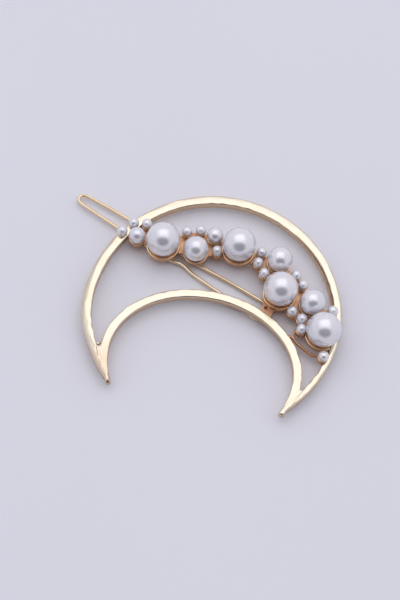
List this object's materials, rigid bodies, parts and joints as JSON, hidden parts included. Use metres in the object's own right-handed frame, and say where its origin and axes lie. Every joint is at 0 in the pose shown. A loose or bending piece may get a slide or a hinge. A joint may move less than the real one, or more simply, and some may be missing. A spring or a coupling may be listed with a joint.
{
  "type": "hair barrette",
  "caption": "Crescent-moon hair barrette: open gold frame with a cluster of round pearls across it and a sprung wire clip hinged behind.",
  "frame": {"origin": "bottom centre of the whole clip's box, on the level that its lowest pieces lie on", "axes": "+Z out of the decorated front, +Y from the horns towards the crown, +X to the right seen from the front"},
  "size_m": [0.0678, 0.0538, 0.0102],
  "materials": {
    "polished_gold": "polished pale gold plating",
    "spring_wire_gold": "drawn wire with pale gold plating",
    "pearl": "pearlescent lacquer over a moulded bead"
  },
  "bodies": {
    "wire": {"wire_clip": "spring_wire_gold"},
    "moon": {"crescent_frame": "polished_gold", "pearl_tray": "polished_gold", "hinge_lug_upper": "polished_gold", "hinge_lug_lower": "polished_gold", "pearl_01": "pearl", "pearl_02": "pearl", "pearl_03": "pearl", "pearl_04": "pearl", "pearl_05": "pearl", "pearl_06": "pearl", "pearl_07": "pearl", "pearl_08": "pearl", "pearl_09": "pearl", "pearl_10": "pearl", "pearl_11": "pearl", "pearl_12": "pearl", "pearl_13": "pearl", "pearl_14": "pearl", "pearl_15": "pearl", "pearl_16": "pearl", "pearl_17": "pearl", "pearl_18": "pearl", "pearl_19": "pearl", "pearl_20": "pearl", "pearl_21": "pearl", "pearl_22": "pearl", "pearl_23": "pearl", "pearl_24": "pearl", "pearl_25": "pearl"}
  },
  "joints": [
    {"name": "clip_hinge", "type": "hinge", "parent": "wire", "child": "moon", "pos_m": [0.01608, -0.00061, 0.00075], "axis": [0.3741, 0.9274, 0], "range_deg": [0, 100], "stiffness_Nm_per_rad": 0.01, "springref_deg": -57.3}
  ]
}
